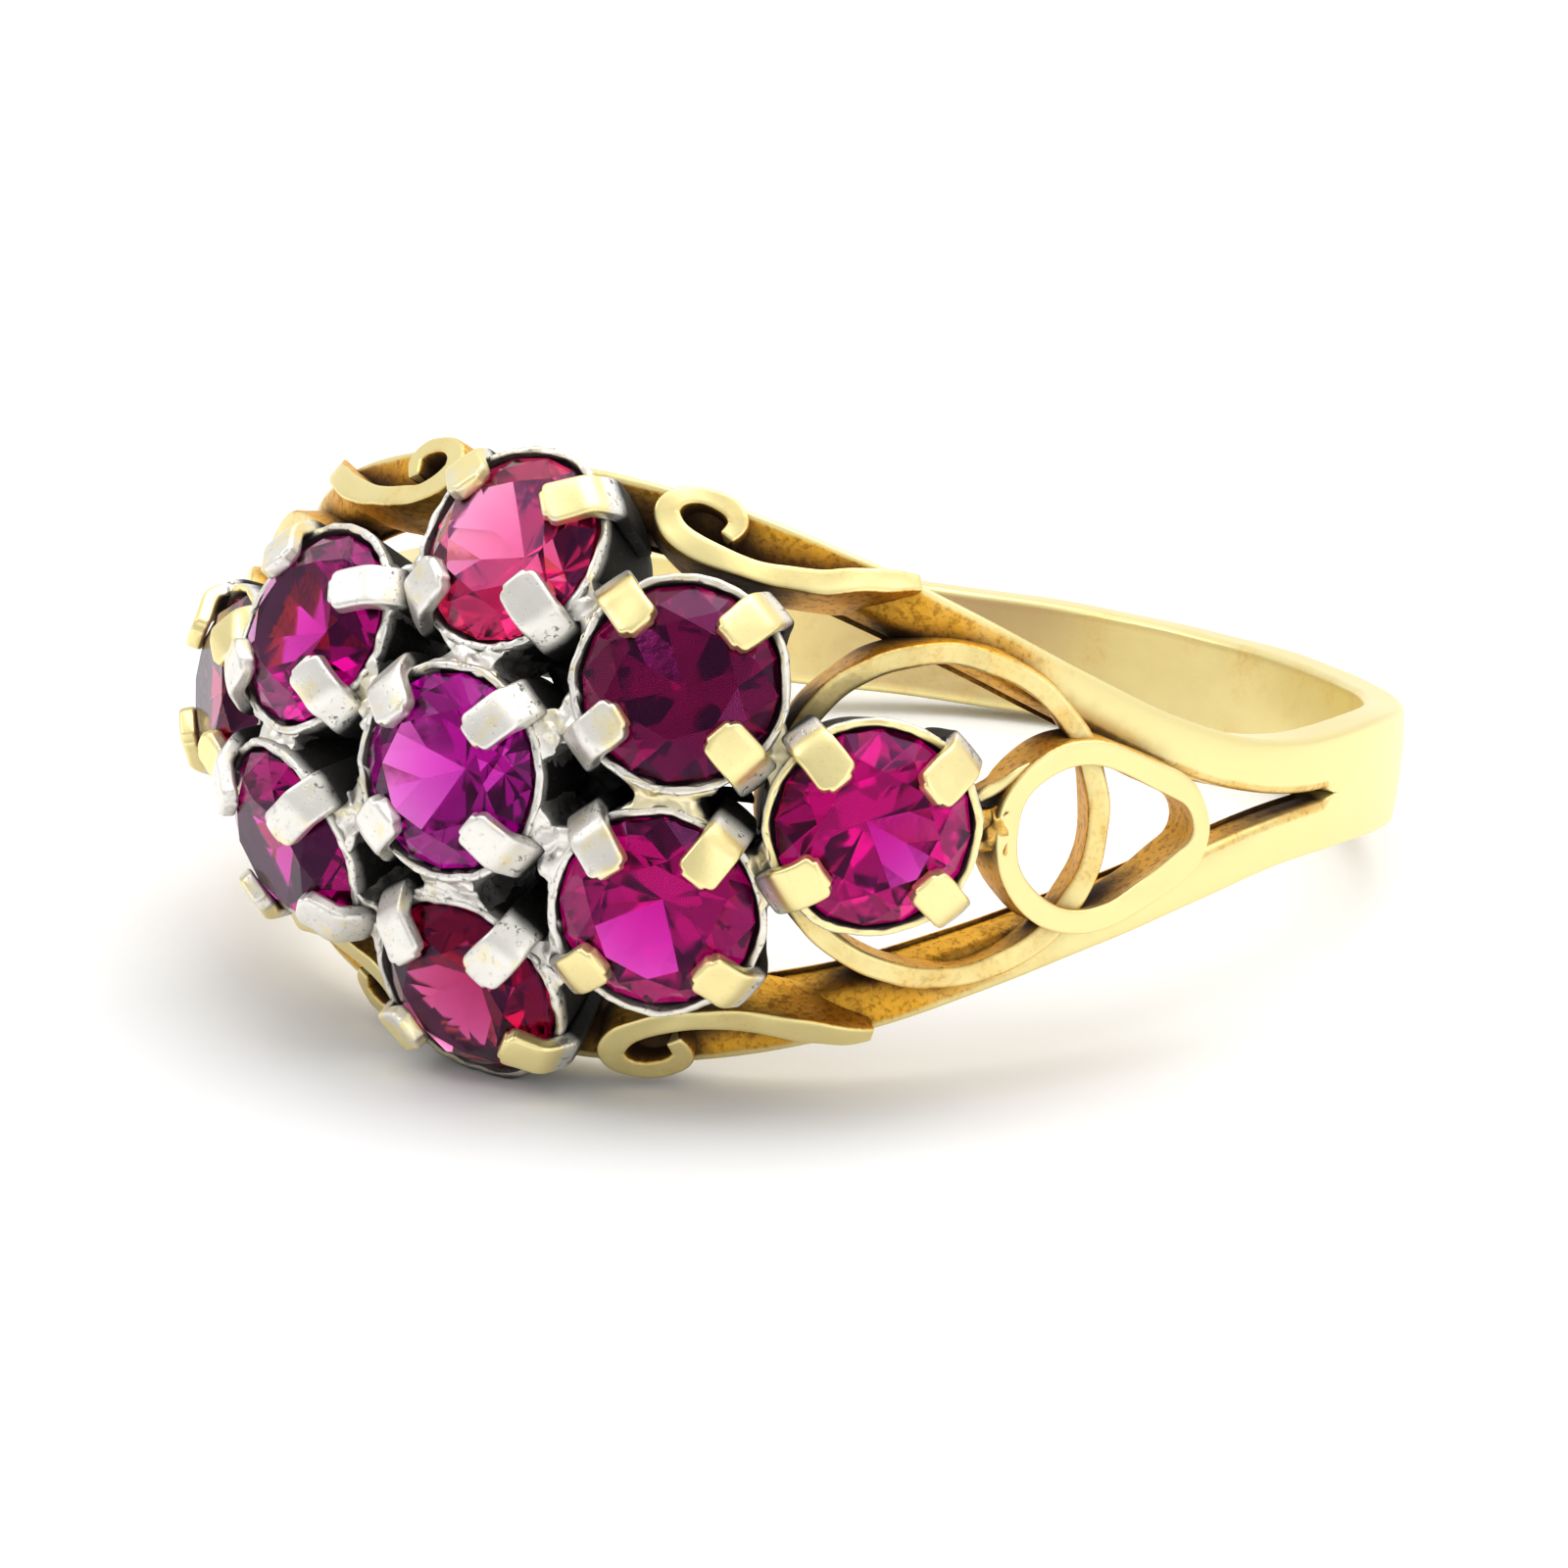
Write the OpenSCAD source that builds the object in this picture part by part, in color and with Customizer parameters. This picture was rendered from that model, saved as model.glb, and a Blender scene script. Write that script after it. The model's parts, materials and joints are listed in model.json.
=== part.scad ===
/* [Hoop] */
// Inner diameter of the hoop, where the finger goes
finger_d = 17.2; // [16.8:0.1:17.8]
// Thickness of the gold between finger and outside
band_t = 0.75; // [0.7:0.05:0.9]
// Width of the hoop at the back
back_w = 2; // [1.8:0.1:2.4]
// Width over the outer edges of the two rails under the head
head_w = 9.7; // [9.4:0.1:10]
// Width of each arm and rail
rail_w = 0.9; // [0.8:0.05:1.1]
// How far behind the middle of the hoop the split reaches
split_back = 0.3; // [0.1:0.1:1]

/* [Stones] */
// Diameter of each round stone
stone_d = 3.2; // [3:0.05:3.25]
// Width of the flat table on top, as a share of the diameter
table_share = 0.57; // [0.5:0.01:0.62]
// Height of the stone above its girdle
crown_h = 0.5; // [0.4:0.05:0.55]
// Depth of the stone below its girdle
pavilion_h = 1.35; // [1.2:0.05:1.4]
// Thickness of the girdle
girdle_t = 0.08; // [0.05:0.01:0.1]
// Clear space between a stone and its metal
stone_gap = 0.06; // [0.05:0.01:0.08]

/* [Cups and claws] */
// Wall of a cup
cup_t = 0.14; // [0.12:0.01:0.18]
// Height of a cup, from the girdle to its foot
cup_h = 2; // [1.8:0.1:2.2]
// Outer diameter of a cup at its foot
cup_foot_d = 2.9; // [2.7:0.1:3.1]
// Width of a claw
claw_w = 0.8; // [0.6:0.05:0.9]
// Thickness of a claw
claw_t = 0.3; // [0.25:0.01:0.35]
// How far a claw lies over the edge of its stone
claw_reach = 0.52; // [0.4:0.02:0.6]
// Diameter of the solder that joins two cups
solder_d = 0.6; // [0.5:0.05:0.7]

/* [Wirework] */
// Thickness of the strip of a loop
loop_t = 0.37; // [0.3:0.01:0.45]
// Outer diameter of a loop
loop_d = 5.7; // [5.4:0.1:5.9]
// Thickness of the strip of a teardrop
drop_t = 0.4; // [0.35:0.01:0.5]
// Diameter of the round end of a teardrop
drop_d = 3.2; // [2.9:0.02:3.3]
// Distance from the middle of the round end to the tip of a teardrop
drop_point = 2.2; // [2.1:0.05:2.4]
// Thickness of the strip at the tip of a teardrop
drop_tip_t = 0.3; // [0.2:0.02:0.3]
// Depth of the strips, from their polished face down into the rails
strip_h = 1.05; // [0.95:0.05:1.2]

/* [Hidden] */

finger_r = finger_d / 2;
hoop_r = finger_r + band_t;
stone_r = stone_d / 2;
seat_r = stone_r + stone_gap;
rim_r = seat_r + cup_t;
foot_r = cup_foot_d / 2;
// Height of a cup's rim above the middle of the girdle
rim_h = 0.1;
// Slant of the rim's outer edge, across and down
rim_slant_w = 0.06;
rim_slant_h = 0.14;
// How far the leg of a claw is let into the wall of its cup
claw_sunk = 0.02;
// Outer side of a claw's bend: how far in from the face of its leg, and how far over the girdle
CLAW_BEND = [
    [0,    -0.15],
    [0.02, 0.15],
    [0.1,  0.36],
    [0.26, 0.5]
];
// The claws stand at the corners of a square round each stone
claw_turn = 45;
// The hoop bows up this much at its two sides, most at side_y, and not past side_reach from there
side_rise = 0.3;
side_y = 1.75;
side_reach = 6;
// A cut runs this far past what it cuts
over = 1;
smooth = 96;

// Where each stone sits, as the maker left it. The angle goes round the finger from the head
// towards +X, out is from the middle of the finger, up is along it, facing and lean turn its table.
NAME = 0;
AROUND = 1;
OUT = 2;
UP = 3;
FACING = 4;
LEAN = 5;
SEATS = [
    ["stone_centre",         0,   12.0,  0,     0,    0],
    ["stone_top",            0,   10.85, 3.55,  -5,   26],
    ["stone_bottom",         0,   10.8,  -3.65, 0,    -29],
    ["stone_right_top",      17.8, 11.5,  1.95,  25,   16],
    ["stone_right_bottom",   17.8, 11.5,  -1.75, 24,   -12],
    ["stone_left_top",       -17.8, 11.55, 1.65, -20,  19],
    ["stone_left_bottom",    -17.8, 11.55, -1.85, -25, -25],
    ["stone_right_end",      34.4, 11.4,  0,    43,   0],
    ["stone_left_end",       -34.2, 11.03, 0,   -42,  0]
];
// Cups that touch are soldered together
SOLDERED = [
    ["stone_centre", "stone_top"], ["stone_centre", "stone_bottom"],
    ["stone_centre", "stone_right_top"], ["stone_centre", "stone_right_bottom"],
    ["stone_centre", "stone_left_top"], ["stone_centre", "stone_left_bottom"],
    ["stone_top", "stone_right_top"], ["stone_top", "stone_left_top"],
    ["stone_bottom", "stone_right_bottom"], ["stone_bottom", "stone_left_bottom"],
    ["stone_right_top", "stone_right_bottom"], ["stone_left_top", "stone_left_bottom"],
    ["stone_right_top", "stone_right_end"], ["stone_right_bottom", "stone_right_end"],
    ["stone_left_top", "stone_left_end"], ["stone_left_bottom", "stone_left_end"]
];
// The solder lies this far below the girdles
solder_depth = 0.42;

// A scroll's middle line in its own plane, from its tail round to the end of its curl: how far
// along the rail, how far up, and the width of the hammered strip there
SCROLL = [
    [1.3,   -0.16, 0.26],
    [0.55,  -0.32, 0.42],
    [-0.25, -0.46, 0.44],
    [-1.15, -0.42, 0.38],
    [-2.05, -0.22, 0.4],
    [-2.6,  0.06,  0.44],
    [-2.85, 0.42,  0.46],
    [-2.68, 0.7,   0.38],
    [-2.28, 0.78,  0.3],
    [-1.86, 0.65,  0.34],
    [-1.68, 0.4,   0.36],
    [-1.82, 0.14,  0.28]
];
// Rounds of the curve between two rows of the table
scroll_steps = 3;
// Middle of a scroll round the ring, out from the finger's middle, up along it, and its slope
scroll_around = 29;
scroll_out = 9.73;
scroll_up = 4.07;
scroll_lean = 28;

// Middle of a loop round the ring and the height of its polished face over the finger's middle
loop_around = 40.8;
loop_out = 9.82;
// Middle of a teardrop's round end, and how far its tip turns towards the upper arm
drop_around = 54.5;
drop_out = 10.3;
drop_up = -0.12;
drop_turn = 8;
drop_tip_r = 1.1;
drop_hole_tip_r = 0.5;

// The bars that join an end cup to its teardrop: angle, height, length, width, turn
BARS = [
    [44.4, -0.12, 1.32, 0.6, 0],
    [47.2, 0.8, 1.3, 0.3, 34]
];
bar_out = 9.98;
bar_h = 0.55;

// A claw's tip follows the crown of its stone
crown_slope = crown_h / (stone_r * (1 - table_share));
claw_tip_r = stone_r - claw_reach;
claw_under = girdle_t / 2 + claw_reach * crown_slope + 1.3 * stone_gap;
claw_top = claw_under + claw_t;
claw_top_r = claw_tip_r + 0.12;
claw_out_r = rim_r + claw_t - claw_sunk;

// The lowest stone's claws or rim and the back of the hoop carry the ring as it lies. Points there
// that may touch the floor: how far down its face from the middle of the stone, and how far out
low_seat = seat("stone_bottom");
TOUCHING = concat(
    [[rim_r, rim_h - rim_slant_h]],
    [for (b = CLAW_BEND) [corner_reach(claw_out_r - b[0]), b[1]]]
);
rest_tilt = max([for (p = TOUCHING) atan2(-low_up(p) - back_w / 2, low_out(p) + hoop_r)]);
lift = hoop_r * sin(rest_tilt) + back_w / 2 * cos(rest_tilt);
// Middle of the whole ring as it lies, from the foremost claw to the back
front_out = seat("stone_centre")[OUT] + claw_top;
front_y = -front_out * cos(rest_tilt) - corner_reach(claw_top_r) * sin(rest_tilt);
back_y = hoop_r * cos(rest_tilt) + back_w / 2 * sin(rest_tilt);
middle_y = (front_y + back_y) / 2;

// How far a claw's corner at radius r lies from the middle of its stone, square to the claws' square
function corner_reach(r) = r * cos(claw_turn) + claw_w / 2 * sin(claw_turn);

function low_out(p) = low_seat[OUT] + sin(low_seat[LEAN]) * p[0] + cos(low_seat[LEAN]) * p[1];

function low_up(p) = low_seat[UP] - cos(low_seat[LEAN]) * p[0] + sin(low_seat[LEAN]) * p[1];

function seat(name) = SEATS[search([name], SEATS, 1, NAME)[0]];

function place(s) = [s[OUT] * sin(s[AROUND]), -s[OUT] * cos(s[AROUND]), s[UP]];

function outward(s) = [sin(s[FACING]) * cos(s[LEAN]), -cos(s[FACING]) * cos(s[LEAN]), sin(s[LEAN])];

function unit(v) = v / norm(v);

// Half the width of the band at y, where the head is at the far negative end: the back is
// straight, and the sides swell towards the head
function half_width(y) =
    back_w / 2 + (head_w - back_w) / 2 * (1 - pow(1 - pow(min(1, max(0, -y / hoop_r)), 2), 1.2));

// How far the middle of the band lies above the middle plane of the hoop at y
function rise(y) = abs(y - side_y) < side_reach ? side_rise * pow(cos(90 * (y - side_y) / side_reach), 2) : 0;

// A smooth curve through the rows a, b, c and d, between b and c
function between(a, b, c, d, t) =
    0.5 * (2 * b + (c - a) * t + (2 * a - 5 * b + 4 * c - d) * t * t + (3 * b - a - 3 * c + d) * t * t * t);

function curve(rows, steps) = [
    for (i = [0 : len(rows) - 2])
        let (a = rows[max(0, i - 1)], b = rows[i], c = rows[i + 1], d = rows[min(len(rows) - 1, i + 2)])
            for (k = [0 : steps - 1]) between(a, b, c, d, k / steps),
    rows[len(rows) - 1]
];

// One side of a strip that follows the rows of a curve: side is 1 or -1
function strip_side(rows, side) = [
    for (i = [0 : len(rows) - 1])
        let (back = rows[max(0, i - 1)], next = rows[min(len(rows) - 1, i + 1)])
            let (run = unit([next[0] - back[0], next[1] - back[1]]))
                [rows[i][0] - side * run[1] * rows[i][2] / 2, rows[i][1] + side * run[0] * rows[i][2] / 2]
];

function reversed(rows) = [for (i = [len(rows) - 1 : -1 : 0]) rows[i]];

// A round outline with one rounded point: an arc about the middle, tangents, an arc at the tip
function drop_outline(r, tip_r, reach) =
    let (open = acos((r - tip_r) / (reach - tip_r)), side = (360 - 2 * open) / 24, turn = 2 * open / 6)
        concat(
            [for (a = [0 : 24]) r * [cos(open + a * side), sin(open + a * side)]],
            [for (a = [0 : 6]) [reach - tip_r, 0] + tip_r * [cos(-open + a * turn), sin(-open + a * turn)]]
        );

// A ring of points round a stone: count points from a start angle, at radius r and height z
function ring(count, start, r, z) = [
    for (i = [0 : count - 1]) [r * cos(start + i * 360 / count), r * sin(start + i * 360 / count), z]
];

// Turns the children so that their +X points out of the ring at this angle and height
module on_ring(around, out, up) {
    rotate([0, 0, around - 90])
        translate([out, 0, up])
            children();
}

module at_seat(s) {
    translate(place(s))
        rotate([0, 0, s[FACING] - 90])
            rotate([0, 90 - s[LEAN], 0])
                children();
}

// Draws a flat outline as a strip on edge: x runs round the ring, y up along the finger, and the
// polished face looks outwards
module on_edge(depth) {
    rotate([90, 0, 90])
        translate([0, 0, -depth])
            linear_extrude(depth)
                children();
}

module as_it_lies() {
    translate([0, -middle_y, lift])
        rotate([-rest_tilt, 0, 0])
            children();
}

// Joins two points with a round bar
module bar_between(from, to, d) {
    run = to - from;
    translate(from)
        rotate([0, acos(run[2] / norm(run)), atan2(run[1], run[0])])
            cylinder(d = d, h = norm(run), $fn = 24);
}

// The hoop, split at both shoulders into two arms that run on under the head as rails
module band() {
    steps = 40;
    far = hoop_r + over;
    edge_y = [for (i = [0 : steps]) -far + i * 2 * far / steps];
    split_y = [for (y = edge_y) if (y < 0) y];
    color("goldenrod")
        difference() {
            intersection() {
                cylinder(r = hoop_r, h = head_w + over, center = true, $fn = smooth);
                rotate([90, 0, 90])
                    linear_extrude(2 * far, center = true)
                        polygon(concat(
                            [for (y = edge_y) [y, rise(y) + half_width(y)]],
                            reversed([for (y = edge_y) [y, rise(y) - half_width(y)]])
                        ));
            }
            rotate([90, 0, 90])
                linear_extrude(2 * far + over, center = true)
                    polygon(concat(
                        [for (y = split_y) [y, rise(y) + half_width(y) - rail_w]],
                        [[split_back, rise(split_back)]],
                        reversed([for (y = split_y) [y, rise(y) - half_width(y) + rail_w]])
                    ));
        }
}

// A thin tapered cup with a bearing that the underside of the stone sits over
module cup() {
    slope = pavilion_h / stone_r;
    bearing_r = foot_r - cup_t;
    bearing_z = -girdle_t / 2 - (seat_r - bearing_r) * slope - stone_gap;
    color("gainsboro")
        rotate_extrude($fn = 48)
            polygon([
                [seat_r, rim_h],
                [rim_r - rim_slant_w, rim_h],
                [rim_r, rim_h - rim_slant_h],
                [foot_r, -cup_h],
                [bearing_r, -cup_h],
                [bearing_r, bearing_z],
                [seat_r, -girdle_t / 2 - stone_gap]
            ]);
}

// A flat claw: its leg stands against the cup and its tip is bent down over the stone
module claw() {
    leg_z = -1.35;
    color("ivory")
        rotate([90, 0, 0])
            linear_extrude(claw_w, center = true)
                polygon(concat(
                    [[foot_r + 0.05, leg_z], [foot_r + 0.32, leg_z]],
                    [for (b = CLAW_BEND) [claw_out_r - b[0], b[1]]],
                    [
                        [claw_top_r, claw_top],
                        [claw_tip_r, claw_under + 0.1],
                        [claw_tip_r + 0.02, claw_under],
                        [seat_r + 0.02, girdle_t / 2 + stone_gap],
                        [seat_r + 0.06, -0.3]
                    ]
                ));
}

// A short bar of solder between the walls of two cups
module solder(pair) {
    a = seat(pair[0]);
    b = seat(pair[1]);
    deep_a = place(a) - solder_depth * outward(a);
    deep_b = place(b) - solder_depth * outward(b);
    run = unit(deep_b - deep_a);
    color("silver")
        bar_between(deep_a + (seat_r + 0.04) * run, deep_b - (seat_r + 0.04) * run, solder_d);
}

// One scroll, over the upper rail at the right of the head
module scroll() {
    rows = curve(SCROLL, scroll_steps);
    color("gold")
        on_ring(scroll_around, scroll_out, scroll_up)
            rotate([0, -scroll_lean, 0])
                on_edge(strip_h)
                    polygon(concat(strip_side(rows, 1), reversed(strip_side(rows, -1))));
}

// A ring of strip round the outer side of an end cup, lying across both rails
module loop() {
    color("gold")
        on_ring(loop_around, loop_out - strip_h, 0)
            rotate([0, 90, 0])
                difference() {
                    cylinder(d = loop_d, h = strip_h, $fn = smooth);
                    translate([0, 0, -over])
                        cylinder(d = loop_d - 2 * loop_t, h = strip_h + 2 * over, $fn = smooth);
                }
}

// A drop of strip over the split, with its tip towards the back
module teardrop() {
    color("gold")
        on_ring(drop_around, drop_out, drop_up)
            on_edge(strip_h)
                rotate(drop_turn)
                    difference() {
                        polygon(drop_outline(drop_d / 2, drop_tip_r, drop_point));
                        polygon(drop_outline(drop_d / 2 - drop_t, drop_hole_tip_r, drop_point - drop_tip_t));
                    }
}

module bars() {
    color("gold")
        for (b = BARS)
            on_ring(b[0], bar_out, b[1])
                rotate([b[4], 0, 0])
                    translate([-bar_h / 2, 0, 0])
                        cube([bar_h, b[2], b[3]], center = true);
}

// What one shoulder carries, on the right of the head
module shoulder() {
    scroll();
    mirror([0, 0, 1])
        scroll();
    loop();
    teardrop();
    bars();
}

// All the soldered metal
module setting() {
    as_it_lies()
        difference() {
            union() {
                band();
                shoulder();
                mirror([1, 0, 0])
                    shoulder();
                for (s = SEATS)
                    at_seat(s) {
                        cup();
                        for (turn = [claw_turn : 90 : 360])
                            rotate([0, 0, turn])
                                claw();
                    }
                for (pair = SOLDERED)
                    solder(pair);
            }
            cylinder(r = finger_r, h = 2 * head_w, center = true, $fn = smooth);
        }
}

// A round stone cut with a table, eight main facets, eight star facets and sixteen more above the
// girdle, and eight main facets and sixteen more below it
module stone(name) {
    table_r = stone_r * table_share / cos(22.5);
    star_r = stone_r * 0.8;
    low_r = stone_r * 0.42;
    top_z = girdle_t / 2 + crown_h;
    // Each main facet is flat: a star's tip lies on the line from table to girdle
    star_z = top_z - crown_h * (star_r * cos(22.5) - table_r) / (stone_r - table_r);
    low_z = -girdle_t / 2 - pavilion_h * (1 - low_r * cos(22.5) / stone_r);
    points = concat(
        ring(8, 0, table_r, top_z),
        ring(8, 22.5, star_r, star_z),
        ring(16, 0, stone_r, girdle_t / 2),
        ring(16, 0, stone_r, -girdle_t / 2),
        ring(8, 22.5, low_r, low_z),
        [[0, 0, -girdle_t / 2 - pavilion_h]]
    );
    star = 8;
    girdle = 16;
    under = 32;
    low = 48;
    culet = 56;
    faces = concat(
        [[for (i = [7 : -1 : 0]) i]],
        [for (i = [0 : 7]) [i, (i + 1) % 8, star + i]],
        [for (i = [0 : 7]) [i, star + i, girdle + 2 * i, star + (i + 7) % 8]],
        [for (i = [0 : 7]) [star + i, girdle + 2 * i + 1, girdle + 2 * i]],
        [for (i = [0 : 7]) [star + i, girdle + (2 * i + 2) % 16, girdle + 2 * i + 1]],
        [for (i = [0 : 15]) [girdle + i, girdle + (i + 1) % 16, under + (i + 1) % 16, under + i]],
        [for (i = [0 : 7]) [low + i, under + 2 * i, under + 2 * i + 1]],
        [for (i = [0 : 7]) [low + i, under + 2 * i + 1, under + (2 * i + 2) % 16]],
        [for (i = [0 : 7]) [culet, low + (i + 7) % 8, under + 2 * i, low + i]]
    );
    color("crimson")
        as_it_lies()
            at_seat(seat(name))
                rotate([0, 0, 45])
                    polyhedron(points, faces);
}

setting();
stone("stone_centre");  // stone_centre
stone("stone_top");  // stone_top
stone("stone_bottom");  // stone_bottom
stone("stone_right_top");  // stone_right_top
stone("stone_right_bottom");  // stone_right_bottom
stone("stone_left_top");  // stone_left_top
stone("stone_left_bottom");  // stone_left_bottom
stone("stone_right_end");  // stone_right_end
stone("stone_left_end");  // stone_left_end
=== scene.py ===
# %% [markdown]
# # A cluster ring, lying on its side
# The ring is hand made: a slim yellow gold hoop splits into two rails, and on the rails a
# goldsmith has soldered curled strips, two loops, two teardrops and nine little cups, each
# with four flat claws that hold a round ruby. The head was plated white, and the plating
# has worn off the corners that a hand touches.
#
# The nine stones are used as they come from the fixed model, because cut facets are flat
# and sharp. All the metal is modelled again here, with the round edges, soft bends and
# rough solder that a plain solid leaves out.

# %% Load the fixed model and measure it
import json
import math
import bpy
import numpy as np
from mathutils import Matrix, Vector


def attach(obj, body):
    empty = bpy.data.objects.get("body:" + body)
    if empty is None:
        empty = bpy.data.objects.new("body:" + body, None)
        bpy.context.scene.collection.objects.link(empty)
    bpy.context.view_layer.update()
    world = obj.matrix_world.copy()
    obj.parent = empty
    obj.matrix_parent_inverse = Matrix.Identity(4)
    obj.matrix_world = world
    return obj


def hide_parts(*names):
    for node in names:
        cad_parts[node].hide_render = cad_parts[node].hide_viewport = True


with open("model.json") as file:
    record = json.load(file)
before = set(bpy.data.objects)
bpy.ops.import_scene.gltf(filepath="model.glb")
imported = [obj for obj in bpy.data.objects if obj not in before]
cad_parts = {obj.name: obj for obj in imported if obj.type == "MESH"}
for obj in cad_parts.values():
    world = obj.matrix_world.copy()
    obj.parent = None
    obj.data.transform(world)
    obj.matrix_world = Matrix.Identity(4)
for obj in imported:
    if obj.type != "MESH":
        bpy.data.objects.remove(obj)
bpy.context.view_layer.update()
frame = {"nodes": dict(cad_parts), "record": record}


# %% [markdown]
# ## One set of coordinates for the maker's bench
# A goldsmith thinks of a ring round a mandrel: an angle round the finger, a distance out
# from its middle, and a height along it. The lying ring leans a little, so writing every
# piece in leaning coordinates would be hard to read. Instead each piece is worked out
# upright, in millimetres, round the axis of the finger hole, and one turn and one move
# at the very end lay it down. The hole's mount in the record says which turn and move.

# %% The ring's own coordinates
MM = 0.001
hole = next(m for m in frame["record"]["mounts"] if m["name"] == "finger_hole")
tilt = math.atan2(hole["axis"][1], hole["axis"][2])
finger_r = hole["dims"]["r_mm"]
print(f"the ring leans {math.degrees(tilt):.2f} degrees round a {2 * finger_r:.1f} mm hole")


def laid_down(points):
    """Ring coordinates (x right, y back, z along the finger, in mm) as the ring lies, in metres:
    a turn about X by the lean, then a move to the middle of the finger hole."""
    x, y, z = points[:, 0], points[:, 1], points[:, 2]
    c, s = math.cos(tilt), math.sin(tilt)
    turned = np.stack([x, y * c + z * s, z * c - y * s], 1)
    return turned * MM + np.array(hole["pos_m"])


def outward(around, lean=0.0):
    """The unit vector that leaves the finger's axis at an angle from the head, both in degrees,
    leaning up along the finger: (sin a cos l, -cos a cos l, sin l)."""
    a, l = np.radians(around), np.radians(lean)
    return np.array([np.sin(a) * np.cos(l), -np.cos(a) * np.cos(l), np.sin(l)])


def along(around):
    """The unit vector that runs round the ring at an angle from the head: (cos a, sin a, 0)."""
    a = np.radians(around)
    return np.array([np.cos(a), np.sin(a), 0.0])


UP = np.array([0.0, 0.0, 1.0])

# %% [markdown]
# ## From numbers to a mesh
# Every metal piece here is a strip or a tube: a closed outline carried along a path. That is
# a grid of points, one row for each step of the path, so its faces follow from the grid's
# shape and only its points have to be worked out. Blender's own curve objects could do it
# too, but a strip on edge keeps turning over in them, and a grid keeps full control.

# %% Shells: grids of points with faces
def grid_quads(rows, columns, closed_rows, closed_columns):
    """Four-sided faces between neighbours of a grid; a closed direction joins its end to its start."""
    i = np.arange(rows if closed_rows else rows - 1)
    j = np.arange(columns if closed_columns else columns - 1)
    a, b = np.meshgrid(i, j, indexing="ij")
    here, there, d = a * columns, (a + 1) % rows * columns, (b + 1) % columns
    return np.stack([here + b, there + b, there + d, here + d], -1).reshape(-1, 4)


def volume(points, quads, tris):
    """The volume inside a closed shell: a sixth of the triple product of each triangle's corners."""
    t = np.concatenate([quads[:, [0, 1, 2]], quads[:, [0, 2, 3]], tris])
    a, b, c = points[t[:, 0]], points[t[:, 1]], points[t[:, 2]]
    return float(np.einsum("ij,ij->", a, np.cross(b, c)) / 6)


def shell(sections, worn, closed=False):
    """A closed shell from a grid of sections, (rows, columns, 3), each one a closed outline. An
    open row of sections gets a fan to a middle point at each end. worn says for each point how
    much it has been rubbed bright, from 0 to 1."""
    rows, columns = sections.shape[:2]
    points = sections.reshape(-1, 3)
    worn = np.broadcast_to(worn, (rows, columns)).reshape(-1)
    quads = grid_quads(rows, columns, closed, True)
    tris = np.zeros((0, 3), int)
    if not closed:
        start, end = len(points), len(points) + 1
        j = np.arange(columns)
        k = (j + 1) % columns
        last = (rows - 1) * columns
        tris = np.concatenate([
            np.stack([j, k, np.full(columns, start)], 1),
            np.stack([last + k, last + j, np.full(columns, end)], 1),
        ])
        points = np.concatenate([points, sections[0].mean(0)[None], sections[-1].mean(0)[None]])
        worn = np.concatenate([worn, [worn[:columns].mean(), worn[-columns:].mean()]])
    if volume(points, quads, tris) < 0:
        quads, tris = quads[:, ::-1], tris[:, ::-1]
    return {"points": points, "quads": quads, "tris": tris, "worn": worn}


def mirrored(part, across):
    """The same shell on the other side of the plane at right angles to X (0) or Z (2)."""
    points = part["points"].copy()
    points[:, across] *= -1
    return {**part, "points": points, "quads": part["quads"][:, ::-1], "tris": part["tris"][:, ::-1]}


def joined(parts):
    """Several shells as one: their points in a row, and their faces counted on from there."""
    first = np.cumsum([0] + [len(p["points"]) for p in parts])
    return {
        "points": np.concatenate([p["points"] for p in parts]),
        "quads": np.concatenate([p["quads"] + f for p, f in zip(parts, first)]),
        "tris": np.concatenate([p["tris"] + f for p, f in zip(parts, first)]),
        "worn": np.concatenate([p["worn"] for p in parts]),
    }


def make_piece(name, part, material):
    """Puts a shell into a Blender mesh with its worn values as an attribute, and hangs it on the
    ring's one body."""
    points = laid_down(part["points"])
    quads, tris = part["quads"], part["tris"]
    mesh = bpy.data.meshes.new(name)
    mesh.vertices.add(len(points))
    mesh.vertices.foreach_set("co", points.ravel())
    mesh.loops.add(quads.size + tris.size)
    mesh.loops.foreach_set("vertex_index", np.concatenate([quads.ravel(), tris.ravel()]))
    mesh.polygons.add(len(quads) + len(tris))
    starts = np.concatenate([4 * np.arange(len(quads)), quads.size + 3 * np.arange(len(tris))])
    mesh.polygons.foreach_set("loop_start", starts)
    mesh.update(calc_edges=True)
    mesh.shade_smooth()
    worn = mesh.attributes.new("worn", "FLOAT", "POINT")
    worn.data.foreach_set("value", part["worn"].astype(np.float32))
    mesh.materials.append(material)
    piece = bpy.data.objects.new(name, mesh)
    bpy.context.collection.objects.link(piece)
    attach(piece, "root")
    inside = abs(volume(part["points"], quads, tris))
    print(f"{name}: {2 * len(quads) + len(tris)} triangles, {inside:.1f} mm3")
    return piece


# %% [markdown]
# ## Strips with round edges
# Rolled and hammered strip never has a sharp edge. Its outline is a rectangle whose corners
# are quarter circles, and its ends are rounded the same way, by drawing the last few
# outlines in as they near the end. A Bevel modifier could round the edges as well, but
# here the width changes along the strip, and the formula gives each edge the same radius.

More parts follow.
